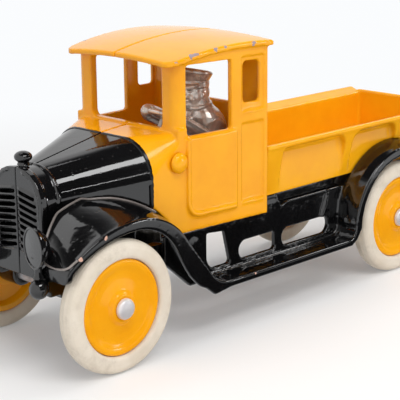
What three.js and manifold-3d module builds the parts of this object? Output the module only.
// A cast iron toy truck: black hood and fenders, yellow cab and open bed, white rubber tyres.
// X points forward, Y to the truck's left and Z up, in millimetres. Every place along the truck is
// measured from the front axle, and the finished truck is then centred over the origin.
import * as THREE from 'three';
import { mergeVertices } from 'three/addons/utils/BufferGeometryUtils.js';
import Module from 'manifold-3d';

const wasm = await Module();
wasm.setup();

// Fits between castings
const FIT = 0.3;
const SEAM = 0.2;
const BORE_FIT = 0.3;
const TYRE_FIT = 0.2;

// Wheels, tyres and axles
const WHEELBASE = 160;
const FRONT_TRACK = 67;
const REAR_TRACK = 63.2;
const TYRE_RADIUS = 24;
const TYRE_WIDTH = 8;
const RIM_RADIUS = 17.3;
const DISH_RADIUS = 14;
const HUB_RADIUS = 6.4;
const WEB = 1.8;
const AXLE_RADIUS = 2.2;
const AXLE_HEAD_RADIUS = 3.8;
const AXLE_HEAD_HEIGHT = 2;
const WHEEL_SEGMENTS = 32;
const ROD_SEGMENTS = 16;

// Chassis frame
const RAIL_Y = 21.2;
const RAIL_WIDTH = 4.4;
const RAIL_BOTTOM = 31;
const RAIL_TOP = 37.4;
const RAIL_REAR_X = -202;
const HORN_X = 25.4;
const HORN_BALL_RADIUS = 3.6;
const HORN_BALL_Z = 33.8;
const HORN_Y = 23;
const SPRING_LENGTH = 42;
const SPRING_LEAF = 1.5;
const SPRING_LEAVES = 3;
const BOSS_RADIUS = 4.6;
const CROSS_MEMBER = 8;
const MID_CROSS_X = -36;
const RAIL_BRIDGE = 2.5;
const CRADLE_X = 9.5;

// Fender units
const FENDER_Y = 36.5;
const FENDER_SHEET = 1.7;
const FENDER_CREST_X = -9;
const FENDER_CREST_Z = 53.2;
const FENDER_FRONT_ARC = 50;
const FENDER_REAR_ARC = 27;
const FENDER_SLOPE = THREE.MathUtils.degToRad(52);
const FENDER_INNER_Y = 16.5;
const FENDER_RISE = 6.5;
const FENDER_CROWN = 1.2;
const FENDER_INNER_WALL = 2;
const FENDER_WALL_BOTTOM = 38.5;
const FENDER_LIP = 3.4;
const FENDER_SLOPE_LIP = 7.2;
const LIP_WALL = 1.8;
const SKIRT_X = 23.5;
const SKIRT_BOTTOM = 37.2;
const SKIRT_CORNER = 2.4;
const SKIRT_INNER_Y = 22.6;
const RUNNING_BOARD_Z = 20.6;
const REAR_ARCH_RADIUS = 30.5;
const REAR_ARCH_END = THREE.MathUtils.degToRad(160);
const REAR_RISE = 2.6;
const APRON = 2.2;
const APRON_NOTCH_FROM_BED = 12.9;
const APRON_NOTCH_Z = 39.4;
const APRON_REAR_TOP = 41.5;
const SLOT_HEIGHT = 7.4;
const SLOT_Z = 26.8;
const FRONT_SLOT_X = -80;
const FRONT_SLOT_LENGTH = 20.8;
const FRONT_SLOT_CORNER = 1;
const REAR_SLOT_X = -109;
const REAR_SLOT_LENGTH = 29;
const TALL_SLOT_FRONT_X = -52;
const TALL_SLOT_WIDTH = 9.7;
const TALL_SLOT_LEAN = 3;
const TALL_SLOT_TOP = 37.4;
const TALL_SLOT_ROUND = 5;

// Hood and radiator
const RADIATOR_X = 16;
const RADIATOR_HALF = 13.7;
const RADIATOR_TOP = 70.4;
const RADIATOR_SHOULDER = 12;
const RADIATOR_WALL = 2.4;
const VALANCE_BOTTOM = 32;
const HOOD_REAR_X = -22.4;
const HOOD_REAR_HALF = 27;
const HOOD_REAR_TOP = 76.6;
const HOOD_REAR_SHOULDER = 15;
const HOOD_WALL = 2.2;
const HOOD_BOTTOM = 42;
const BEAD_X = 8;
const BEAD = 0.6;
const GRILLE_TOP = 62.6;
const GRILLE_BOTTOM = 43.4;
const GRILLE_SLOTS = 9;
const GRILLE_SLOT = 1.1;
const GRILLE_BORDER = 2.8;
const GRILLE_POST = 1.1;
const GRILLE_SLANT = 0.15;
const CAP_X = 12.3;
const CAP_RADIUS = 3.2;
const CAP_HEIGHT = 5;
const CAP_STUD_RADIUS = 1.8;

// Headlamps
const LAMP_X = 27.6;
const LAMP_Z = 48.6;
const LAMP_RADIUS = 7.2;
const LAMP_DEPTH = 6;
const LAMP_TOE_IN = THREE.MathUtils.degToRad(12);
const LAMP_STEM_RADIUS = 1.5;

// Cab
const COWL_HALF = 27.3;
const CAB_TAPER = 0.068;
const CAB_WALL = 2.3;
const CAB_BOTTOM = 41;
const CAB_REAR_X = -80;
const WINDSCREEN_X = -35.7;
const WINDSCREEN_DEPTH = 3.4;
const WINDSCREEN_HALF = 19.5;
const WINDSCREEN_SILL = 79;
const WINDSCREEN_HEADER = 7.3;
const PILLAR_ROUND = 5;
const COWL_REAR_SHOULDER = 4;
const DOOR_FRONT_X = -38.9;
const DOOR_POST = 2.6;
const DOOR_BOTTOM = 46.4;
const DOOR_ROUND = 6;
const DOOR_RAISE = 0.7;
const DOOR_BEAD = 1.5;
const DOOR_WINDOW_FRONT_X = -40;
const DOOR_WINDOW_BORDER = 2.2;
const DOOR_WINDOW_SILL = 76.7;
const DOOR_WINDOW_HEADER = 7.5;
const QUARTER_BORDER = 2;
const QUARTER_WIDTH = 11.7;
const QUARTER_RECESS = 0.8;
const QUARTER_WINDOW = 8.4;
const QUARTER_WINDOW_SILL = 85.5;
const QUARTER_HEADER = 9.1;
const BELT_Z = 82.4;
const BELT_WIDTH = 4.3;
const QUARTER_PANEL_BOTTOM = 47;
const REAR_WINDOW_HALF = 16;
const REAR_WINDOW_SILL = 82.8;
const REAR_WINDOW_HEADER = 8.1;
const CAB_SILL_INNER_Y = 19;
const CAB_SILL = 2.2;
const ROOF_FRONT_X = -30.7;
const ROOF_REAR_OVERHANG = 1.6;
const ROOF_PEAK_FROM_REAR = 12;
const ROOF_PEAK_Z = 110.1;
const ROOF_FRONT_DROP = 4.5;
const ROOF_REAR_DROP = 0.6;
const ROOF_CROWN = 1.5;
const ROOF_SHEET = 2;
const ROOF_OVERHANG = 1.4;
const ROOF_ROUND = 5;

// Cargo bed
const BED_REAR_X = -209;
const BED_BOTTOM = 46.2;
const BED_FLOOR = 2.2;
const BED_HALF = 27;
const BED_WALL = 2.2;
const BED_RIM_Y = 31.4;
const BED_RIM_Z = 67.2;
const BED_RIM_EDGE = 1.8;
const BED_RIM_DISH = 2.2;
const BED_TAIL_TOP = 66.4;
const RIB_WIDTH = 4.6;
const RIB_FIRST_X = -131.5;
const RIB_PITCH = 34;
const RIB_COUNT = 3;
const FRONT_RIB_WIDTH = 10;

// Rivets
const RIVET_RADIUS = 1.8;
const RIVET_HEAD_RADIUS = 3.4;
const RIVET_HEAD_HEIGHT = 1.6;
const COWL_RIVET_X = -34.9;
const COWL_RIVET_Z = 68;
const COWL_RIVET_HEAD = 3.7;
const FRAME_RIVET_Z = 34.6;
const FRAME_RIVET_FRONT_X = -45;
const FRAME_RIVET_REAR_X = -122;
const BED_RIVET_FROM_HEAD = 19.7;
const BED_RIVET_REAR_X = -190;
const BED_RIVET_LENGTH = 6;
const RIVET_SINK = 1.5;

// Seat, driver and steering wheel
const SEAT_TOP = 62;
const SEAT_BOARD = 3;
const SEAT_DEPTH = 16;
const SEAT_HALF = 24;
const SEAT_LEG = 3.5;
const DRIVER_Y = 10;
const DRIVER_FROM_REAR = 12;
const SHOULDER_HEIGHT = 17.6;
const SHOULDER_HALF = 11.4;
const TORSO_DEPTH = 7;
const TORSO_CORNERS = 14;
const NECK_RADIUS = 3.4;
const HEAD_HEIGHT = 25.5;
const HEAD_RADIUS = 5;
const HEAD_FORWARD = 5;
const BAND_RADIUS = 5.4;
const CROWN_RADIUS = 7.2;
const CROWN_HEIGHT = 6.8;
const SLEEVE_RADIUS = 3.2;
const WRIST_RADIUS = 2.2;
const ELBOW_FORWARD = 11.5;
const STEERING_X = -46;
const STEERING_Z = 81;
const STEERING_RADIUS = 5.6;
const STEERING_RIM = 1.1;
const HAND_RADIUS = 2.4;
const COLUMN_RADIUS = 1.3;
const COLUMN_FOOT_Z = 45;

// Places that follow from the sizes above
const AXLE_Z = TYRE_RADIUS * Math.cos(Math.PI / WHEEL_SEGMENTS);
const HUB_FACE = TYRE_WIDTH / 2 - 0.4;
const HUB_BACK = TYRE_WIDTH / 2;
const BORE_RADIUS = AXLE_RADIUS + BORE_FIT;
const RAIL_IN = RAIL_Y - RAIL_WIDTH / 2;
const RAIL_OUT = RAIL_Y + RAIL_WIDTH / 2;
const APRON_IN = RAIL_OUT + FIT;
const APRON_OUT = APRON_IN + APRON;
const SHEET_INNER = APRON_OUT + FIT;
const BED_SEAT = BED_BOTTOM - FIT;
const COWL_X = HOOD_REAR_X - FIT;
const BED_FRONT_X = CAB_REAR_X - FIT;
const APRON_NOTCH_X = BED_FRONT_X - APRON_NOTCH_FROM_BED;
const BED_RIVET_FRONT_X = BED_FRONT_X - BED_RIVET_FROM_HEAD;
const QUARTER_REAR_X = CAB_REAR_X + QUARTER_BORDER;
const QUARTER_FRONT_X = QUARTER_REAR_X + QUARTER_WIDTH;
const DOOR_REAR_X = QUARTER_FRONT_X + DOOR_POST;
const DOOR_WINDOW_REAR_X = DOOR_REAR_X + DOOR_WINDOW_BORDER;
const ROOF_REAR_X = CAB_REAR_X - ROOF_REAR_OVERHANG;
const ROOF_PEAK_X = CAB_REAR_X + ROOF_PEAK_FROM_REAR;
const WINDSCREEN_TOP = ROOF_PEAK_Z - WINDSCREEN_HEADER;
const DOOR_WINDOW_TOP = ROOF_PEAK_Z - DOOR_WINDOW_HEADER;
const QUARTER_WINDOW_TOP = ROOF_PEAK_Z - QUARTER_HEADER;
const REAR_WINDOW_TOP = ROOF_PEAK_Z - REAR_WINDOW_HEADER;
const DRIVER_X = CAB_REAR_X + DRIVER_FROM_REAR;
const CRADLE_TOP = HOOD_BOTTOM - FIT;
const sideY = (x) => COWL_HALF + CAB_TAPER * (COWL_X - x);

function signedVolume(points, faces) {
  const corner = (i) => new THREE.Vector3().fromArray(points, 3 * faces[i]);
  let sum = 0;
  for (let i = 0; i < faces.length; i += 3) sum += corner(i).dot(corner(i + 1).cross(corner(i + 2)));
  return sum / 6;
}

// A closed three.js geometry as a solid, with shared corners merged and its faces pointing out.
function solid(geometry) {
  const plain = geometry.clone();
  plain.deleteAttribute('normal');
  plain.deleteAttribute('uv');
  const merged = mergeVertices(plain);
  const points = merged.attributes.position.array;
  const corners = merged.index.array;
  const faces = [];
  for (let i = 0; i < corners.length; i += 3) {
    const [a, b, c] = corners.slice(i, i + 3);
    if (a !== b && b !== c && c !== a) faces.push(a, b, c);
  }
  if (signedVolume(points, faces) < 0) faces.reverse();
  const mesh = { numProp: 3, vertProperties: new Float32Array(points), triVerts: new Uint32Array(faces) };
  return new wasm.Manifold(new wasm.Mesh(mesh));
}

function geometryOf(body) {
  const mesh = body.getMesh();
  const geometry = new THREE.BufferGeometry();
  geometry.setAttribute('position', new THREE.BufferAttribute(mesh.vertProperties, 3));
  geometry.setIndex(new THREE.BufferAttribute(mesh.triVerts, 1));
  geometry.computeVertexNormals();
  return geometry;
}

// The same piece for the other side of the truck.
function mirrorY(geometry) {
  const other = geometry.clone().scale(1, -1, 1);
  other.setIndex(Array.from(other.index.array).reverse());
  other.computeVertexNormals();
  return other;
}

const join = (...bodies) => bodies.reduce((whole, body) => whole.add(body));
const cut = (body, ...tools) => tools.reduce((rest, tool) => rest.subtract(tool), body);

function box(x, y, z) {
  const block = new THREE.BoxGeometry(x[1] - x[0], y[1] - y[0], z[1] - z[0]);
  return solid(block.translate((x[0] + x[1]) / 2, (y[0] + y[1]) / 2, (z[0] + z[1]) / 2));
}

function plate(shape, depth, curveSegments) {
  return new THREE.ExtrudeGeometry(shape, { depth, bevelEnabled: false, curveSegments });
}

// A plate whose outline is drawn in X and Z, between two planes across the truck.
function sidePlate(shape, y, curveSegments = 6) {
  return plate(shape, y[1] - y[0], curveSegments).rotateX(Math.PI / 2).translate(0, y[1], 0);
}

// A plate whose outline is drawn in Y and Z, between two planes along the truck.
function crossPlate(shape, x, curveSegments = 6) {
  const turn = new THREE.Matrix4().makeBasis(
    new THREE.Vector3(0, 1, 0), new THREE.Vector3(0, 0, 1), new THREE.Vector3(1, 0, 0));
  return plate(shape, x[1] - x[0], curveSegments).applyMatrix4(turn).translate(x[0], 0, 0);
}

function floorPlate(shape, z, curveSegments = 6) {
  return plate(shape, z[1] - z[0], curveSegments).translate(0, 0, z[0]);
}

function outline(points) {
  return new THREE.Shape(points.map(([u, v]) => new THREE.Vector2(u, v)));
}

function roundedRect(u, v, radius) {
  const shape = new THREE.Shape();
  const r = Math.min(radius, (u[1] - u[0]) / 2.02, (v[1] - v[0]) / 2.02);
  shape.moveTo(u[0] + r, v[0]);
  shape.lineTo(u[1] - r, v[0]);
  shape.absarc(u[1] - r, v[0] + r, r, -Math.PI / 2, 0);
  shape.absarc(u[1] - r, v[1] - r, r, 0, Math.PI / 2);
  shape.absarc(u[0] + r, v[1] - r, r, Math.PI / 2, Math.PI);
  shape.absarc(u[0] + r, v[0] + r, r, Math.PI, 1.5 * Math.PI);
  return shape;
}

// A solid turned about Y from [radius, y] points, with a flat facet downwards.
function turned(profile, segments) {
  const points = profile.map(([radius, y]) => new THREE.Vector2(radius, y));
  return new THREE.LatheGeometry(points, segments, Math.PI / segments);
}

const crossRod = (radius, y, x, z, segments = ROD_SEGMENTS) => solid(
  new THREE.CylinderGeometry(radius, radius, y[1] - y[0], segments).translate(x, (y[0] + y[1]) / 2, z));

const uprightRod = (radius, z, x, y, segments = ROD_SEGMENTS) => solid(
  new THREE.CylinderGeometry(radius, radius, z[1] - z[0], segments)
    .rotateX(Math.PI / 2).translate(x, y, (z[0] + z[1]) / 2));

// A round bar between two points.
function limb(from, to, radiusFrom, radiusTo, segments = 10) {
  const way = new THREE.Vector3().subVectors(to, from);
  const bar = new THREE.CylinderGeometry(radiusTo, radiusFrom, way.length(), segments);
  const turn = new THREE.Quaternion().setFromUnitVectors(new THREE.Vector3(0, 1, 0), way.clone().normalize());
  return solid(bar.applyQuaternion(turn).translate(...from.clone().addScaledVector(way, 0.5).toArray()));
}

function ball(radius, x, y, z, scale = [1, 1, 1]) {
  const round = new THREE.SphereGeometry(radius, 12, 8).rotateX(Math.PI / 2);
  return solid(round.scale(...scale).translate(x, y, z));
}

// A solid through a row of rings. Each ring runs out along one face of a wall and back along the other,
// so point i faces point count - 1 - i, and the two end rings close in strips between those points.
function loft(rings) {
  const count = rings[0].length;
  const faces = [];
  const quad = (a, b, c, d) => faces.push(a, b, c, a, c, d);
  for (let k = 0; k + 1 < rings.length; k += 1) {
    for (let i = 0; i < count; i += 1) {
      const next = (i + 1) % count;
      quad(k * count + i, k * count + next, (k + 1) * count + next, (k + 1) * count + i);
    }
  }
  const last = (rings.length - 1) * count;
  for (let i = 0; i + 1 < count / 2; i += 1) {
    const across = count - 1 - i;
    quad(across, across - 1, i + 1, i);
    quad(last + i, last + i + 1, last + across - 1, last + across);
  }
  const geometry = new THREE.BufferGeometry();
  geometry.setAttribute('position', new THREE.Float32BufferAttribute(rings.flat(2), 3));
  geometry.setIndex(faces);
  return solid(geometry);
}

const lerp = THREE.MathUtils.lerp;

// Wheel disc: hub, dished web and rim, with its outer face towards +Y.
function wheelDisc() {
  const lip = TYRE_WIDTH / 2 - 1.2;
  const dish = lip - 1.2;
  const profile = [
    [BORE_RADIUS, HUB_FACE], [HUB_RADIUS - 0.8, HUB_FACE], [HUB_RADIUS + 0.8, dish], [DISH_RADIUS - 1, dish],
    [DISH_RADIUS, dish + 0.7], [DISH_RADIUS + 1.2, lip], [RIM_RADIUS - 0.7, lip], [RIM_RADIUS, lip - 0.5],
    [RIM_RADIUS, -lip], [DISH_RADIUS + 1, -lip], [DISH_RADIUS, dish - WEB], [HUB_RADIUS + 0.8, dish - WEB],
    [HUB_RADIUS, -HUB_BACK], [BORE_RADIUS, -HUB_BACK], [BORE_RADIUS, HUB_FACE],
  ];
  return geometryOf(solid(turned(profile, WHEEL_SEGMENTS)));
}

// Solid rubber tyre with rounded shoulders.
function tyre() {
  const half = TYRE_WIDTH / 2;
  const seat = RIM_RADIUS + TYRE_FIT;
  const side = [[seat, half - 0.9], [seat + 0.9, half - 0.1], [TYRE_RADIUS - 2.6, half],
    [TYRE_RADIUS - 0.9, half - 0.8], [TYRE_RADIUS, half - 2]];
  const back = side.map(([radius, y]) => [radius, -y]).reverse();
  return geometryOf(solid(turned([...side, ...back, side[0]], WHEEL_SEGMENTS)));
}

// Steel axle, peened over into a domed head beyond each hub.
function axle(track) {
  const seat = track / 2 + HUB_FACE + FIT;
  const end = seat + AXLE_HEAD_HEIGHT;
  const r = AXLE_HEAD_RADIUS;
  const half = [[AXLE_RADIUS, seat], [r, seat], [r, lerp(seat, end, 0.3)],
    [0.75 * r, lerp(seat, end, 0.75)], [0, end]];
  const other = half.map(([radius, y]) => [radius, -y]).reverse();
  return geometryOf(solid(turned([...other, ...half], ROD_SEGMENTS)));
}

// Cast leaf spring: stepped leaves under the rail, hung round the axle.
function leafSpring(x) {
  const steps = [];
  for (let leaf = 0; leaf < SPRING_LEAVES; leaf += 1) {
    const reach = (SPRING_LENGTH / 2) * (1 - leaf / (SPRING_LEAVES + 1));
    steps.push([reach, RAIL_BOTTOM - leaf * SPRING_LEAF], [reach, RAIL_BOTTOM - (leaf + 1) * SPRING_LEAF]);
  }
  const top = RAIL_BOTTOM + SPRING_LEAF;
  const right = [[steps[0][0], top], ...steps.slice(1)].map(([reach, z]) => [x + reach, z]);
  const left = right.map(([u, z]) => [2 * x - u, z]).reverse();
  return solid(sidePlate(outline([...right, ...left]), [RAIL_IN, RAIL_OUT]));
}

function bearing(x, track) {
  const reach = track / 2 - HUB_BACK - FIT;
  const hanger = box([x - BOSS_RADIUS, x + BOSS_RADIUS], [RAIL_IN, RAIL_OUT], [AXLE_Z, RAIL_BOTTOM]);
  return join(hanger, crossRod(BOSS_RADIUS, [RAIL_IN, reach], x, AXLE_Z));
}

// Side rail, which rises to a thin bridge over the tall opening of the apron.
function rail() {
  const shape = new THREE.Shape();
  const tip = HORN_BALL_RADIUS / 2;
  const bridgeTop = CAB_BOTTOM - FIT;
  const bridgeRear = TALL_SLOT_FRONT_X - TALL_SLOT_WIDTH - RAIL_WIDTH;
  shape.moveTo(HORN_X, HORN_BALL_Z - tip);
  shape.lineTo(HORN_X, HORN_BALL_Z + tip);
  shape.quadraticCurveTo(CRADLE_X + CROSS_MEMBER, RAIL_TOP - 1, CRADLE_X, RAIL_TOP);
  shape.lineTo(TALL_SLOT_FRONT_X + RAIL_WIDTH, RAIL_TOP);
  shape.lineTo(TALL_SLOT_FRONT_X + RAIL_WIDTH / 4, bridgeTop);
  shape.lineTo(BED_FRONT_X - RAIL_WIDTH / 2, bridgeTop);
  shape.lineTo(BED_FRONT_X - RAIL_WIDTH, BED_SEAT);
  shape.lineTo(RAIL_REAR_X + RAIL_WIDTH, BED_SEAT);
  shape.lineTo(RAIL_REAR_X, BED_SEAT - RAIL_WIDTH);
  shape.lineTo(RAIL_REAR_X, RAIL_TOP);
  shape.lineTo(RAIL_REAR_X + CROSS_MEMBER, RAIL_BOTTOM);
  shape.lineTo(bridgeRear - RAIL_WIDTH / 2, RAIL_BOTTOM);
  shape.lineTo(bridgeRear, bridgeTop - RAIL_BRIDGE);
  shape.lineTo(TALL_SLOT_FRONT_X + RAIL_WIDTH / 4, bridgeTop - RAIL_BRIDGE);
  shape.lineTo(TALL_SLOT_FRONT_X + RAIL_WIDTH / 2, RAIL_BOTTOM);
  shape.lineTo(CRADLE_X, RAIL_BOTTOM);
  return solid(sidePlate(shape, [RAIL_IN, RAIL_OUT]));
}

// Frame: two rails with ball-ended dumb irons, springs, bearings, cross members and the hood cradle.
function chassisFrame() {
  const side = join(rail(), leafSpring(0), leafSpring(-WHEELBASE), bearing(0, FRONT_TRACK),
    bearing(-WHEELBASE, REAR_TRACK), ball(HORN_BALL_RADIUS, HORN_X, HORN_Y, HORN_BALL_Z));
  const half = CROSS_MEMBER / 2;
  const across = (x, z) => box([x - half, x + half], [-RAIL_Y, RAIL_Y], z);
  const cradleHalf = FENDER_INNER_Y - 2 * FIT;
  const cradleReach = [CRADLE_X - half, CRADLE_X + half];
  const cradle = box(cradleReach, [-cradleHalf, cradleHalf], [RAIL_TOP - 1, CRADLE_TOP]);
  const otherSide = solid(mirrorY(geometryOf(side)));
  const frame = join(side, otherSide, cradle, across(CRADLE_X, [RAIL_BOTTOM, RAIL_TOP - 0.4]),
    across(MID_CROSS_X, [RAIL_BOTTOM, RAIL_TOP - 1]),
    across(BED_RIVET_FRONT_X, [BED_SEAT - BED_RIVET_LENGTH, BED_SEAT]),
    across(BED_RIVET_REAR_X, [BED_SEAT - BED_RIVET_LENGTH, BED_SEAT]));
  const reach = [-FRONT_TRACK, FRONT_TRACK];
  return cut(frame, crossRod(BORE_RADIUS, reach, 0, AXLE_Z), crossRod(BORE_RADIUS, reach, -WHEELBASE, AXLE_Z),
    ...frameRivetBores(), ...bedRivetBores());
}

const frameRivetBores = () => [FRAME_RIVET_FRONT_X, FRAME_RIVET_REAR_X].map(
  (x) => crossRod(RIVET_RADIUS + BORE_FIT, [-FENDER_Y, FENDER_Y], x, FRAME_RIVET_Z));

const bedRivetBores = () => [BED_RIVET_FRONT_X, BED_RIVET_REAR_X].map(
  (x) => uprightRod(RIVET_RADIUS + BORE_FIT, [RAIL_BOTTOM, BED_RIM_Z], x, 0));

// One place on the fender's outer edge: where it is, which way its sheet faces, and its section there.
function station(x, z, angle, section) {
  return { x, z, nx: Math.cos(angle), nz: Math.sin(angle), outer: FENDER_Y, ...section };
}

function arcStations(x, z, radius, from, to, steps, section) {
  return Array.from({ length: steps + 1 }, (_, i) => {
    const share = i / steps;
    const angle = lerp(from, to, share);
    return station(x + radius * Math.cos(angle), z + radius * Math.sin(angle), angle, section(share));
  });
}

// Front arch of the fender's edge, from the skirt over the wheel to the foot of the rear slope.
function frontArch() {
  const quarter = Math.PI / 2;
  const frontZ = FENDER_CREST_Z - FENDER_FRONT_ARC;
  const skirtAngle = Math.acos((SKIRT_X - FENDER_SHEET / 2 - FENDER_CREST_X) / FENDER_FRONT_ARC);
  const nose = arcStations(FENDER_CREST_X, frontZ, FENDER_FRONT_ARC, skirtAngle, quarter, 7, (share) => {
    const full = Math.min(1, share / 0.45);
    return {
      inner: lerp(SKIRT_INNER_Y, FENDER_INNER_Y, full), rise: FENDER_RISE * Math.sqrt(full),
      crown: FENDER_CROWN, lip: lerp(FENDER_SHEET + 0.3, FENDER_LIP, share),
    };
  });
  const back = arcStations(FENDER_CREST_X, FENDER_CREST_Z - FENDER_REAR_ARC, FENDER_REAR_ARC, quarter,
    quarter + FENDER_SLOPE, 6, (share) => ({
      inner: lerp(FENDER_INNER_Y, SHEET_INNER, Math.max(0, 2 * share - 1)),
      rise: lerp(FENDER_RISE, 1.5, share),
      crown: FENDER_CROWN, lip: lerp(FENDER_LIP, 0.7 * FENDER_SLOPE_LIP, share),
    }));
  return [...nose, ...back.slice(1)];
}

function rearArch() {
  const start = Math.asin((RUNNING_BOARD_Z - AXLE_Z) / REAR_ARCH_RADIUS) + 0.12;
  return arcStations(-WHEELBASE, AXLE_Z, REAR_ARCH_RADIUS, start, REAR_ARCH_END, 15, (share) => {
    const angle = lerp(start, REAR_ARCH_END, share);
    const height = AXLE_Z + (REAR_ARCH_RADIUS + REAR_RISE) * Math.sin(angle);
    const clear = height > BED_SEAT - 2 * FENDER_SHEET;
    return {
      inner: clear ? BED_HALF + 1.5 * FIT : SHEET_INNER, rise: REAR_RISE * Math.min(1, 6 * share),
      crown: FENDER_CROWN / 2, lip: FENDER_LIP,
    };
  });
}

// Points across the sheet, from its inner edge to its outer edge, raised off the edge line.
function acrossFender(at, lift, reach = [at.inner, at.outer]) {
  return [0, 0.25, 0.5, 0.75, 1].map((share) => {
    const height = at.rise * (1 - share) ** 1.6 + at.crown * Math.sin(Math.PI * share) + lift;
    return [at.x + at.nx * height, lerp(reach[0], reach[1], share), at.z + at.nz * height];
  });
}

function fenderRing(at) {
  const lipPoint = (y) => [at.x - at.nx * at.lip, y, at.z - at.nz * at.lip];
  const under = acrossFender(at, -FENDER_SHEET, [at.inner, at.outer - LIP_WALL]);
  return [...acrossFender(at, 0), lipPoint(at.outer), lipPoint(at.outer - LIP_WALL), ...under.reverse()];
}

// Everything below a fender arch and its clearance, for cutting what stands on the fender.
function underFender(arch) {
  const rings = arch.map((at) => {
    const top = acrossFender(at, FIT, [at.inner - FIT, FENDER_Y + BED_HALF]);
    return [...top, ...top.map(([x, y]) => [x, y, -FIT]).reverse()];
  });
  return loft(rings);
}

function underFrontFender() {
  const arch = frontArch();
  return underFender([...arch, rearSlope(arch.at(-1))[0]]);
}

const flatSheet = { inner: SHEET_INNER, rise: 0, crown: 0, lip: FENDER_SHEET + 0.5 };

// Straight slope behind the front arch, down to the running board.
function rearSlope(foot) {
  const run = (foot.z - RUNNING_BOARD_Z) / Math.tan(FENDER_SLOPE);
  const middle = station(foot.x - run / 2, (foot.z + RUNNING_BOARD_Z) / 2, Math.PI / 2 + FENDER_SLOPE,
    { ...flatSheet, lip: FENDER_SLOPE_LIP });
  const end = station(foot.x - run, RUNNING_BOARD_Z, Math.PI / 2 + FENDER_SLOPE / 2,
    { ...flatSheet, lip: 2.2 * FENDER_SHEET });
  return [middle, end];
}

function fenderSheet() {
  const flat = flatSheet;
  const front = frontArch();
  const rear = rearArch();
  const slope = rearSlope(front.at(-1));
  const boardFront = slope[1].x - FENDER_SLOPE_LIP;
  const boardRear = rear[0].x + REAR_RISE;
  const skirt = { ...flat, inner: SKIRT_INNER_Y };
  const stations = [
    station(SKIRT_X, SKIRT_BOTTOM, 0, { ...skirt, outer: FENDER_Y - SKIRT_CORNER }),
    station(SKIRT_X, SKIRT_BOTTOM + SKIRT_CORNER / 3, 0, { ...skirt, outer: FENDER_Y - SKIRT_CORNER / 3 }),
    station(SKIRT_X, SKIRT_BOTTOM + SKIRT_CORNER, 0, skirt),
    station(SKIRT_X, front[0].z - FENDER_SHEET / 2, 0, { ...skirt, crown: 0.3 }),
    ...front, ...slope,
    station(boardFront, RUNNING_BOARD_Z, Math.PI / 2, flat),
    station(boardRear, RUNNING_BOARD_Z, Math.PI / 2, flat),
    ...rear,
  ];
  return loft(stations.map(fenderRing));
}

// Inner wall of the front wheel house, under the fender's inner edge.
function wheelHouse() {
  const arch = frontArch().filter((at) => at.inner === FENDER_INNER_Y);
  return loft(arch.map((at) => {
    const [x, y, z] = acrossFender(at, -FENDER_SHEET / 2)[0];
    const far = y + FENDER_INNER_WALL;
    const low = FENDER_WALL_BOTTOM;
    return [[x, y, z], [x, far, z - FENDER_SHEET / 2], [x, far, low], [x, y, low]];
  }));
}

// The front opening: a long slot, round at its front end and square behind.
function frontSlot() {
  const r = SLOT_HEIGHT / 2;
  const c = FRONT_SLOT_CORNER;
  const rear = FRONT_SLOT_X - FRONT_SLOT_LENGTH / 2;
  const front = FRONT_SLOT_X + FRONT_SLOT_LENGTH / 2 - r;
  const shape = new THREE.Shape();
  shape.moveTo(rear + c, SLOT_Z - r);
  shape.lineTo(front, SLOT_Z - r);
  shape.absarc(front, SLOT_Z, r, -Math.PI / 2, Math.PI / 2);
  shape.lineTo(rear + c, SLOT_Z + r);
  shape.lineTo(rear, SLOT_Z + r - c);
  shape.lineTo(rear, SLOT_Z - r + c);
  return shape;
}

// The tall opening behind the fender's slope, rounded below at its front and leaning back at its rear.
function tallSlot() {
  const low = SLOT_Z - SLOT_HEIGHT / 2;
  const rear = TALL_SLOT_FRONT_X - TALL_SLOT_WIDTH;
  const shape = new THREE.Shape();
  shape.moveTo(TALL_SLOT_FRONT_X, TALL_SLOT_TOP);
  shape.lineTo(rear, TALL_SLOT_TOP - FRONT_SLOT_CORNER);
  shape.lineTo(rear - TALL_SLOT_LEAN, low + FRONT_SLOT_CORNER);
  shape.lineTo(rear - TALL_SLOT_LEAN + FRONT_SLOT_CORNER, low);
  shape.lineTo(TALL_SLOT_FRONT_X - TALL_SLOT_ROUND, low);
  shape.absarc(TALL_SLOT_FRONT_X - TALL_SLOT_ROUND, low + TALL_SLOT_ROUND, TALL_SLOT_ROUND, -Math.PI / 2, 0);
  return shape;
}

// Splash apron between the running board and the body, with its three openings.
function splashApron() {
  const rear = rearArch()[3];
  const front = frontArch().at(-1);
  const low = RUNNING_BOARD_Z - FENDER_SHEET;
  const shape = outline([
    [front.x, CAB_BOTTOM - FIT], [front.x, SLOT_Z], [front.x - SLOT_HEIGHT, low], [rear.x + REAR_RISE, low],
    [rear.x + REAR_RISE / 2, APRON_REAR_TOP], [APRON_NOTCH_X - 2.4, APRON_REAR_TOP],
    [APRON_NOTCH_X, APRON_NOTCH_Z],
    [APRON_NOTCH_X + 2, BED_SEAT], [BED_FRONT_X - 1, BED_SEAT], [BED_FRONT_X - 1, CAB_BOTTOM - FIT],
  ]);
  const half = SLOT_HEIGHT / 2;
  const rearReach = [REAR_SLOT_X - REAR_SLOT_LENGTH / 2, REAR_SLOT_X + REAR_SLOT_LENGTH / 2];
  shape.holes.push(roundedRect(rearReach, [SLOT_Z - half, SLOT_Z + half], half), frontSlot(), tallSlot());
  const sinks = [FRAME_RIVET_FRONT_X, FRAME_RIVET_REAR_X]
    .map((x) => solid(rivetSink(APRON_OUT).translate(x, 0, FRAME_RIVET_Z)));
  return geometryOf(cut(solid(sidePlate(shape, [APRON_IN, APRON_OUT])), ...frameRivetBores(), ...sinks));
}

const fenderUnit = () => geometryOf(join(fenderSheet(), wheelHouse()));

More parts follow.
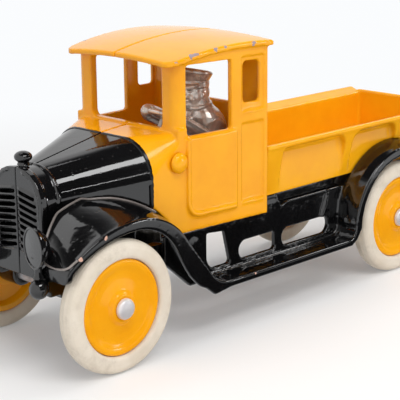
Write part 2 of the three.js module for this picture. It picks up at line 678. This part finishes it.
// Half of a hood-like arch, from the seam over the shoulder to its lower edge.
function archPoints({ half, top, shoulder, bottom }) {
  const points = [[SEAM, top]];
  for (let i = 0; i <= 6; i += 1) {
    const angle = (Math.PI / 2) * (1 - i / 6);
    points.push([half - shoulder * (1 - Math.cos(angle)), top - shoulder * (1 - Math.sin(angle))]);
  }
  return [...points, [half, bottom]];
}

function archRing(x, arch, wall) {
  const shoulder = Math.max(arch.shoulder - wall, 1);
  const inside = { ...arch, half: arch.half - wall, top: arch.top - wall, shoulder };
  return [...archPoints(arch), ...archPoints(inside).reverse()].map(([y, z]) => [x, y, z]);
}

const radiatorArch = {
  half: RADIATOR_HALF, top: RADIATOR_TOP, shoulder: RADIATOR_SHOULDER, bottom: HOOD_BOTTOM,
};
const hoodRearArch = {
  half: HOOD_REAR_HALF, top: HOOD_REAR_TOP, shoulder: HOOD_REAR_SHOULDER, bottom: HOOD_BOTTOM,
};

// Radiator front with slanted openings between its bars.
function radiatorFront() {
  const rim = { half: RADIATOR_HALF + BEAD / 2, top: RADIATOR_TOP + BEAD / 2, bottom: VALANCE_BOTTOM };
  const edge = archPoints({ ...radiatorArch, ...rim });
  const shape = outline([...edge, [SEAM, VALANCE_BOTTOM]]);
  const front = solid(crossPlate(shape, [RADIATOR_X - RADIATOR_WALL, RADIATOR_X]));
  const pitch = (GRILLE_TOP - GRILLE_BOTTOM) / (GRILLE_SLOTS - 1);
  const slots = [];
  for (let i = 0; i < GRILLE_SLOTS; i += 1) {
    const z = GRILLE_BOTTOM + i * pitch;
    const above = Math.max(0, z - (RADIATOR_TOP - RADIATOR_SHOULDER));
    const round = RADIATOR_SHOULDER - GRILLE_BORDER;
    const end = RADIATOR_HALF - RADIATOR_SHOULDER + Math.sqrt(round ** 2 - Math.min(above, 0.9 * round) ** 2);
    const drop = GRILLE_SLANT * (end - GRILLE_POST);
    slots.push(solid(crossPlate(outline([
      [GRILLE_POST, z], [GRILLE_POST, z - GRILLE_SLOT], [end, z - GRILLE_SLOT - drop], [end, z - drop],
    ]), [RADIATOR_X - 2 * RADIATOR_WALL, RADIATOR_X + RADIATOR_WALL])));
  }
  return cut(front, ...slots);
}

function hoodHalf() {
  const grow = { ...radiatorArch, half: RADIATOR_HALF + BEAD, top: RADIATOR_TOP + BEAD };
  const rings = [
    archRing(RADIATOR_X - RADIATOR_WALL / 2, radiatorArch, HOOD_WALL),
    archRing(BEAD_X + BEAD, radiatorArch, HOOD_WALL), archRing(BEAD_X, grow, HOOD_WALL + BEAD),
    archRing(BEAD_X - BEAD, radiatorArch, HOOD_WALL), archRing(HOOD_REAR_X, hoodRearArch, HOOD_WALL),
  ];
  const stud = uprightRod(CAP_STUD_RADIUS + BORE_FIT,
    [RADIATOR_TOP - 3 * HOOD_WALL, RADIATOR_TOP + CAP_HEIGHT], CAP_X, 0);
  return geometryOf(cut(join(loft(rings), radiatorFront()), underFrontFender(), stud));
}

// Knob on the radiator, with a stud down into the seam.
function radiatorCap() {
  const foot = RADIATOR_TOP + BEAD / 2 + FIT;
  const low = foot - HOOD_WALL - 1;
  const r = CAP_RADIUS;
  const h = CAP_HEIGHT;
  const profile = [[0, low], [CAP_STUD_RADIUS, low], [CAP_STUD_RADIUS, foot], [0.7 * r, foot],
    [0.6 * r, foot + 0.2 * h], [r, foot + 0.45 * h], [r, foot + 0.7 * h],
    [0.6 * r, foot + 0.94 * h], [0, foot + h]];
  return geometryOf(solid(turned(profile, ROD_SEGMENTS).rotateX(Math.PI / 2).translate(CAP_X, 0, 0)));
}

// Bullet lamp on a stem that stands on the ball of the dumb iron.
function headlamp() {
  const r = LAMP_RADIUS;
  const d = LAMP_DEPTH;
  const profile = [[0, -d], [0.36 * r, -0.92 * d], [0.72 * r, -0.62 * d], [0.94 * r, -0.28 * d],
    [r, -0.12 * d], [r, -0.04 * d], [0.93 * r, 0], [0, 0]];
  const facing = turned(profile, 24).rotateZ(-Math.PI / 2 - LAMP_TOE_IN);
  const shell = solid(facing.translate(LAMP_X, HORN_Y, LAMP_Z));
  const foot = HORN_BALL_Z + HORN_BALL_RADIUS + FIT;
  return geometryOf(join(shell, uprightRod(LAMP_STEM_RADIUS, [foot, LAMP_Z - r / 2], HORN_X, HORN_Y)));
}

function roofTop(x, y) {
  const ahead = x > ROOF_PEAK_X;
  const reach = (x - ROOF_PEAK_X) / ((ahead ? ROOF_FRONT_X : ROOF_REAR_X) - ROOF_PEAK_X);
  const drop = ahead ? ROOF_FRONT_DROP : ROOF_REAR_DROP;
  return ROOF_PEAK_Z - drop * reach ** 2 - ROOF_CROWN * (y / sideY(x)) ** 2;
}

// Half of the roof: a thin double-curved sheet with rounded front corners.
function roofHalf() {
  const steps = [0, 0.02, 0.05, 0.1, 0.25, 0.4, 0.55, 0.7, 0.85, 1];
  return loft(steps.map((share) => {
    const x = lerp(ROOF_FRONT_X, ROOF_REAR_X, share);
    const corner = Math.max(0, ROOF_ROUND - (ROOF_FRONT_X - x));
    const eave = sideY(x) + ROOF_OVERHANG - ROOF_ROUND + Math.sqrt(ROOF_ROUND ** 2 - corner ** 2);
    const across = [0, 0.25, 0.5, 0.75, 1].map((part) => lerp(SEAM, eave, part));
    const top = across.map((y) => [x, y, roofTop(x, y)]);
    return [...top, ...top.map(([, y, z]) => [x, y, z - ROOF_SHEET]).reverse()];
  }));
}

// Leans a straight side piece over to the cab's taper, so that the plane y = 0 becomes the cab's side.
function alongSide(geometry) {
  const lean = new THREE.Matrix4().makeShear(-CAB_TAPER, 0, 0, 0, 0, 0).setPosition(0, sideY(0), 0);
  return solid(geometry.applyMatrix4(lean));
}

function cabSide() {
  const into = (ROOF_SHEET * 2) / 3;
  const top = [0, 0.2, 0.4, 0.6, 0.8, 1].map((share) => {
    const x = lerp(CAB_REAR_X, WINDSCREEN_X, share);
    return [x, roofTop(x, sideY(x)) - into];
  });
  const shape = outline([...top, [WINDSCREEN_X, CAB_BOTTOM], [CAB_REAR_X, CAB_BOTTOM]]);
  const window = [DOOR_WINDOW_REAR_X, DOOR_WINDOW_FRONT_X];
  shape.holes.push(roundedRect(window, [DOOR_WINDOW_SILL, DOOR_WINDOW_TOP], 1.2));
  const middle = (QUARTER_FRONT_X + QUARTER_REAR_X) / 2;
  const light = [middle - QUARTER_WINDOW / 2, middle + QUARTER_WINDOW / 2];
  shape.holes.push(roundedRect(light, [QUARTER_WINDOW_SILL, QUARTER_WINDOW_TOP], QUARTER_WINDOW / 5));
  return alongSide(sidePlate(shape, [-CAB_WALL, 0], 3));
}

// Raised door skin with a rounded lower front corner, and a bead down its front edge and along its foot.
function doorSkin() {
  const top = DOOR_WINDOW_SILL - DOOR_RAISE;
  const turn = [DOOR_FRONT_X - DOOR_ROUND, DOOR_BOTTOM + DOOR_ROUND];
  const skin = new THREE.Shape();
  skin.moveTo(DOOR_FRONT_X, top);
  skin.lineTo(DOOR_REAR_X, top);
  skin.lineTo(DOOR_REAR_X, DOOR_BOTTOM);
  skin.lineTo(turn[0], DOOR_BOTTOM);
  skin.absarc(...turn, DOOR_ROUND, -Math.PI / 2, 0);
  const bead = new THREE.Shape();
  bead.moveTo(DOOR_REAR_X + DOOR_RAISE, DOOR_BOTTOM);
  bead.lineTo(turn[0], DOOR_BOTTOM);
  bead.absarc(...turn, DOOR_ROUND, -Math.PI / 2, 0);
  bead.lineTo(DOOR_FRONT_X, top);
  bead.lineTo(DOOR_FRONT_X - DOOR_BEAD, top);
  bead.absarc(...turn, DOOR_ROUND - DOOR_BEAD, 0, -Math.PI / 2, true);
  bead.lineTo(DOOR_REAR_X + DOOR_RAISE, DOOR_BOTTOM + DOOR_BEAD);
  const raised = (shape, height) => alongSide(sidePlate(shape, [-CAB_WALL / 2, height], 4));
  return join(raised(skin, DOOR_RAISE), raised(bead, 2 * DOOR_RAISE));
}

// Two sunk panels behind the door, one round the quarter window and one below the belt.
function quarterRecesses() {
  const reach = [QUARTER_REAR_X, QUARTER_FRONT_X];
  const upper = roundedRect(reach, [BELT_Z, QUARTER_WINDOW_TOP + 2], 0.8);
  const lower = roundedRect(reach, [QUARTER_PANEL_BOTTOM, BELT_Z - BELT_WIDTH], 0.8);
  return [upper, lower].map((shape) => alongSide(sidePlate(shape, [-QUARTER_RECESS, CAB_WALL], 2)));
}

function underRoof(x, half) {
  return [0, 0.33, 0.66, 1].map((share) => {
    const y = lerp(SEAM, half, share);
    return [y, roofTop(x, y) - ROOF_SHEET / 2];
  });
}

function windscreenFrame() {
  const x = WINDSCREEN_X - WINDSCREEN_DEPTH / 2;
  const half = sideY(WINDSCREEN_X) - CAB_WALL / 2;
  const floor = WINDSCREEN_SILL - CAB_WALL;
  const frame = outline([...underRoof(x, half), [half, floor], [SEAM, floor]]);
  const opening = roundedRect([-WINDSCREEN_HALF, WINDSCREEN_HALF], [WINDSCREEN_SILL, WINDSCREEN_TOP], 2.5);
  const depth = [WINDSCREEN_X - WINDSCREEN_DEPTH, WINDSCREEN_X];
  const through = [depth[0] - 1, depth[1] + 1];
  return cut(solid(crossPlate(frame, depth)), solid(crossPlate(opening, through, 3)));
}

function cabRear() {
  const depth = [CAB_REAR_X, CAB_REAR_X + CAB_WALL];
  const half = sideY(CAB_REAR_X) - CAB_WALL / 2;
  const frame = outline([...underRoof(CAB_REAR_X, half), [half, CAB_BOTTOM], [SEAM, CAB_BOTTOM]]);
  const opening = roundedRect([-REAR_WINDOW_HALF, REAR_WINDOW_HALF], [REAR_WINDOW_SILL, REAR_WINDOW_TOP], 4);
  return cut(solid(crossPlate(frame, depth)), solid(crossPlate(opening, [depth[0] - 1, depth[1] + 1], 4)));
}

// Cowl that flares from the hood's arch to the square front of the cab, closed by a bulkhead.
function cowl() {
  const rearX = WINDSCREEN_X - WINDSCREEN_DEPTH / 2;
  const bottom = CAB_BOTTOM;
  const front = { half: COWL_HALF, top: HOOD_REAR_TOP + 0.4, shoulder: HOOD_REAR_SHOULDER, bottom };
  const rear = { half: sideY(rearX), top: WINDSCREEN_SILL - 0.6, shoulder: COWL_REAR_SHOULDER, bottom };
  const shell = loft([archRing(COWL_X, front, CAB_WALL), archRing(rearX, rear, CAB_WALL)]);
  const wall = archPoints({ ...front, half: COWL_HALF - 0.5, top: front.top - 0.5 });
  const bulkhead = outline([...wall, [SEAM, CAB_BOTTOM]]);
  return join(shell, solid(crossPlate(bulkhead, [COWL_X - CAB_WALL, COWL_X])));
}

// What is taken off to round the front pillar between the windscreen and the door window.
function pillarRounding() {
  const y = sideY(WINDSCREEN_X);
  const shape = new THREE.Shape();
  shape.moveTo(WINDSCREEN_X + 1, y + 1);
  shape.lineTo(WINDSCREEN_X - PILLAR_ROUND, y + 1);
  shape.lineTo(WINDSCREEN_X - PILLAR_ROUND, y);
  shape.absarc(WINDSCREEN_X - PILLAR_ROUND, y - PILLAR_ROUND, PILLAR_ROUND, Math.PI / 2, 0, true);
  shape.lineTo(WINDSCREEN_X + 1, y - PILLAR_ROUND);
  const top = roofTop(WINDSCREEN_X, y) - ROOF_SHEET - 0.2;
  return solid(floorPlate(shape, [WINDSCREEN_SILL + 1, top], 5));
}

function cabHalf() {
  const back = CAB_REAR_X + CAB_WALL / 2;
  const inWall = (x) => [x, sideY(x) - CAB_WALL / 2];
  const sill = outline([
    [back, CAB_SILL_INNER_Y], [WINDSCREEN_X, CAB_SILL_INNER_Y], inWall(WINDSCREEN_X), inWall(back),
  ]);
  const foot = solid(floorPlate(sill, [CAB_BOTTOM, CAB_BOTTOM + CAB_SILL]));
  const walls = cut(join(cabSide(), doorSkin()), ...quarterRecesses());
  const shell = join(walls, windscreenFrame(), cabRear(), cowl(), foot);
  const rivet = crossRod(RIVET_RADIUS + BORE_FIT, [0, FENDER_Y], COWL_RIVET_X, COWL_RIVET_Z);
  const trimmed = cut(shell, pillarRounding(), underFrontFender(), rivet);
  return geometryOf(join(trimmed, roofHalf()));
}

// Open tray with an outward, slightly dished rim along both sides, plain ends and tapered ribs.
function cargoBed() {
  const inner = BED_HALF - BED_WALL;
  const floor = BED_BOTTOM + BED_FLOOR;
  const rimUnder = BED_RIM_Z - BED_RIM_EDGE;
  const side = [[BED_HALF, BED_BOTTOM], [BED_HALF, rimUnder - BED_RIM_DISH], [BED_RIM_Y, rimUnder],
    [BED_RIM_Y, BED_RIM_Z], [inner, BED_RIM_Z - BED_RIM_DISH], [inner, floor]];
  const section = outline([...side, ...side.map(([y, z]) => [-y, z]).reverse()]);
  const tray = solid(crossPlate(section, [BED_REAR_X, BED_FRONT_X]));
  const end = (x, top) => box(x, [1 - BED_HALF, BED_HALF - 1], [BED_BOTTOM, top]);
  const head = end([BED_FRONT_X - BED_WALL, BED_FRONT_X], BED_RIM_Z - BED_RIM_DISH);
  const tail = end([BED_REAR_X, BED_REAR_X + BED_WALL], BED_TAIL_TOP);
  const gusset = outline([[inner + 0.5, BED_BOTTOM + 1], [BED_HALF, BED_BOTTOM + 1],
    [BED_RIM_Y - 0.4, rimUnder], [inner + 0.5, rimUnder - 0.4]]);
  const ribs = Array.from({ length: RIB_COUNT }, (_, i) => RIB_FIRST_X - i * RIB_PITCH)
    .map((x) => solid(crossPlate(gusset, [x - RIB_WIDTH / 2, x + RIB_WIDTH / 2])));
  ribs.push(solid(crossPlate(gusset, [BED_FRONT_X - FRONT_RIB_WIDTH, BED_FRONT_X])));
  const left = cut(join(...ribs), underFender(rearArch().filter((at) => at.nz > 0.15)));
  const right = solid(mirrorY(geometryOf(left)));
  const sinks = [BED_RIVET_FRONT_X, BED_RIVET_REAR_X]
    .map((x) => solid(rivetSink(floor).rotateX(Math.PI / 2).translate(x, 0, 0)));
  return geometryOf(cut(join(tray, head, tail, left, right), ...bedRivetBores(), ...sinks));
}

const domedHead = (seat, headRadius) => [[RIVET_RADIUS, seat], [headRadius, seat],
  [headRadius, seat + 0.25 * RIVET_HEAD_HEIGHT], [0.72 * headRadius, seat + 0.75 * RIVET_HEAD_HEIGHT],
  [0, seat + RIVET_HEAD_HEIGHT]];

// A head sunk level with the face it holds, but for a little play.
const sunkHead = (face) => [[RIVET_RADIUS, face - FIT / 3 - RIVET_SINK], [RIVET_HEAD_RADIUS, face - FIT / 3],
  [0, face - FIT / 3]];

// Rivet across the truck, with the same head at both ends.
function crossRivet(x, z, head) {
  const other = head.map(([radius, y]) => [radius, -y]).reverse();
  return geometryOf(solid(turned([...other, ...head], ROD_SEGMENTS).translate(x, 0, z)));
}

// Rivet down through the bed floor and a cross member, with its head sunk into the floor.
function bedRivet(x) {
  const seat = BED_SEAT - BED_RIVET_LENGTH - FIT;
  const r = RIVET_HEAD_RADIUS;
  const foot = [[0, seat - 1], [0.7 * r, seat - 1], [r, seat], [RIVET_RADIUS, seat]];
  const profile = [...foot, ...sunkHead(BED_BOTTOM + BED_FLOOR)];
  return geometryOf(solid(turned(profile, ROD_SEGMENTS).rotateX(Math.PI / 2).translate(x, 0, 0)));
}

// The cone that a sunk head lies in, and some way out beyond the face.
function rivetSink(face) {
  const cone = [0, 2].map((share) => [
    lerp(RIVET_RADIUS, RIVET_HEAD_RADIUS, share) + BORE_FIT, face + (share - 1) * RIVET_SINK]);
  return turned([[0, cone[0][1]], ...cone, [0, cone[1][1]]], ROD_SEGMENTS);
}

// Bench across the cab on two legs that stand on the cab's sills.
function seatBench() {
  const x = [CAB_REAR_X + CAB_WALL + FIT, CAB_REAR_X + CAB_WALL + FIT + SEAT_DEPTH];
  const board = box(x, [-SEAT_HALF, SEAT_HALF], [SEAT_TOP - SEAT_BOARD, SEAT_TOP]);
  const floor = CAB_BOTTOM + CAB_SILL + FIT;
  const leg = (y) => box([x[0] + 1, x[1] - 2], y, [floor, SEAT_TOP - SEAT_BOARD / 2]);
  const legs = [leg([SEAT_HALF - SEAT_LEG, SEAT_HALF]), leg([-SEAT_HALF, SEAT_LEG - SEAT_HALF])];
  return geometryOf(join(board, ...legs));
}

// Where the steering column starts on the bulkhead and the way it leans.
const columnFoot = new THREE.Vector3(COWL_X - CAB_WALL - FIT - COLUMN_RADIUS, DRIVER_Y, COLUMN_FOOT_Z);
const steeringHub = new THREE.Vector3(STEERING_X, DRIVER_Y, STEERING_Z);
const columnWay = steeringHub.clone().sub(columnFoot).normalize();

// Steering wheel on its column, which stands on the bulkhead of the cowl.
function steeringWheel() {
  const turn = new THREE.Quaternion().setFromUnitVectors(new THREE.Vector3(0, 0, 1), columnWay);
  const place = (geometry) => solid(geometry.applyQuaternion(turn).translate(...steeringHub.toArray()));
  const rim = place(new THREE.TorusGeometry(STEERING_RADIUS, STEERING_RIM, 6, 20));
  const spokes = [0, 1, 2].map((i) => place(new THREE.CylinderGeometry(0.7, 0.7, STEERING_RADIUS, 6)
    .translate(0, STEERING_RADIUS / 2, 0).rotateZ((2 * Math.PI * i) / 3)));
  return geometryOf(join(rim, ...spokes, limb(columnFoot, steeringHub, COLUMN_RADIUS, COLUMN_RADIUS)));
}

// Seated figure in a peaked cap, both hands reaching forward to the steering wheel.
function driver() {
  const seat = SEAT_TOP + FIT;
  const s = SHOULDER_HEIGHT;
  const w = SHOULDER_HALF;
  const d = TORSO_DEPTH;
  const n = NECK_RADIUS;
  const ringAt = ([height, depth, width, lean]) => Array.from({ length: TORSO_CORNERS }, (_, i) => {
    const angle = (i + 0.5) * ((2 * Math.PI) / TORSO_CORNERS);
    return [DRIVER_X + lean + depth * Math.cos(angle), DRIVER_Y + width * Math.sin(angle), seat + height];
  });
  const torso = loft([[0, 0.9 * d, 0.85 * w, 0], [0.35 * s, d, 0.95 * w, 0.06 * d],
    [0.75 * s, 0.96 * d, w, 0.14 * d], [s, 0.8 * d, 0.9 * w, 0.25 * d], [1.1 * s, 0.6 * d, 0.6 * w, 0.4 * d],
    [1.18 * s, n, n, 0.6 * d], [1.4 * s, 0.9 * n, 0.9 * n, 0.65 * d]].map(ringAt));
  const headX = DRIVER_X + HEAD_FORWARD;
  const headZ = seat + HEAD_HEIGHT;
  const r = HEAD_RADIUS;
  const head = ball(r, headX, DRIVER_Y, headZ, [0.96, 0.86, 1.25]);
  const nose = ball(0.22 * r, headX + 0.98 * r, DRIVER_Y, headZ - 0.12 * r, [0.9, 0.8, 1.3]);
  const brow = headZ + 0.48 * r;
  const h = CROWN_HEIGHT;
  const capProfile = [[0, 0], [0.96 * BAND_RADIUS, 0], [BAND_RADIUS, 0.32 * h], [CROWN_RADIUS, 0.8 * h],
    [0.9 * CROWN_RADIUS, 0.94 * h], [0, h]];
  const cap = solid(turned(capProfile, ROD_SEGMENTS).rotateX(Math.PI / 2).translate(headX, DRIVER_Y, brow));
  const peak = new THREE.CylinderGeometry(0.9 * BAND_RADIUS, 0.9 * BAND_RADIUS, 0.15 * h, ROD_SEGMENTS);
  const visorX = headX + 0.65 * BAND_RADIUS;
  const visor = solid(peak.rotateX(Math.PI / 2).translate(visorX, DRIVER_Y, brow + 0.06 * h));
  const hand = STEERING_RADIUS + STEERING_RIM;
  const grip = steeringHub.clone().addScaledVector(columnWay, STEERING_RIM + HAND_RADIUS + FIT);
  const arms = [-1, 1].flatMap((side) => {
    const shoulder = new THREE.Vector3(DRIVER_X + 0.14 * d, DRIVER_Y + 0.82 * side * w, seat + 0.9 * s);
    const elbow = new THREE.Vector3(DRIVER_X + ELBOW_FORWARD, DRIVER_Y + side * w, seat + 0.88 * s);
    const wrist = grip.clone().add(new THREE.Vector3(0, 0.75 * side * hand, 0));
    return [ball(1.1 * SLEEVE_RADIUS, ...shoulder.toArray()), ball(SLEEVE_RADIUS, ...elbow.toArray()),
      limb(shoulder, elbow, SLEEVE_RADIUS, 0.94 * SLEEVE_RADIUS, 12),
      limb(elbow, wrist, 0.9 * SLEEVE_RADIUS, WRIST_RADIUS, 12), ball(HAND_RADIUS, ...wrist.toArray())];
  });
  return geometryOf(join(torso, head, nose, cap, visor, ...arms));
}

const YELLOW = { color: 0xf7a51c, roughness: 0.35, metalness: 0.0 };
const BLACK = { color: 0x0b0b0d, roughness: 0.2, metalness: 0.0 };
const RUBBER = { color: 0xe6ddca, roughness: 0.75, metalness: 0.0 };
const STEEL = { color: 0xb9bcc0, roughness: 0.3, metalness: 1.0 };
const NICKEL = { color: 0x7d7672, roughness: 0.38, metalness: 1.0 };

const truck = new THREE.Group();

function add(name, geometry, finish, place = [0, 0, 0]) {
  const mesh = new THREE.Mesh(geometry, new THREE.MeshStandardMaterial(finish));
  mesh.name = name;
  mesh.position.set(...place);
  truck.add(mesh);
}

function addPair(name, geometry, finish) {
  add(`left_${name}`, geometry, finish);
  add(`right_${name}`, mirrorY(geometry), finish);
}

add('chassis_frame', geometryOf(chassisFrame()), BLACK);
addPair('fender_unit', fenderUnit(), BLACK);
addPair('splash_apron', splashApron(), BLACK);
addPair('hood_half', hoodHalf(), BLACK);
add('radiator_cap', radiatorCap(), BLACK);
addPair('headlamp', headlamp(), BLACK);
addPair('cab_half', cabHalf(), YELLOW);
add('cargo_bed', cargoBed(), YELLOW);
add('seat_bench', seatBench(), YELLOW);
add('driver', driver(), NICKEL);
add('steering_wheel', steeringWheel(), NICKEL);
const cowlSeat = sideY(COWL_RIVET_X - COWL_RIVET_HEAD) + FIT;
add('cowl_rivet', crossRivet(COWL_RIVET_X, COWL_RIVET_Z, domedHead(cowlSeat, COWL_RIVET_HEAD)), YELLOW);
const frameRivet = (x) => crossRivet(x, FRAME_RIVET_Z, sunkHead(APRON_OUT));
add('frame_rivet_front', frameRivet(FRAME_RIVET_FRONT_X), BLACK);
add('frame_rivet_rear', frameRivet(FRAME_RIVET_REAR_X), BLACK);
add('bed_rivet_front', bedRivet(BED_RIVET_FRONT_X), YELLOW);
add('bed_rivet_rear', bedRivet(BED_RIVET_REAR_X), YELLOW);

for (const [end, x, track] of [['front', 0, FRONT_TRACK], ['rear', -WHEELBASE, REAR_TRACK]]) {
  add(`${end}_axle`, axle(track), STEEL, [x, 0, AXLE_Z]);
  for (const [side, sign] of [['left', 1], ['right', -1]]) {
    const place = [x, (sign * track) / 2, AXLE_Z];
    const facing = (geometry) => (sign > 0 ? geometry : mirrorY(geometry));
    add(`${end}_${side}_wheel`, facing(wheelDisc()), YELLOW, place);
    add(`${end}_${side}_tyre`, facing(tyre()), RUBBER, place);
  }
}

truck.position.x = -(HORN_X + HORN_BALL_RADIUS + BED_REAR_X) / 2;

export default truck;
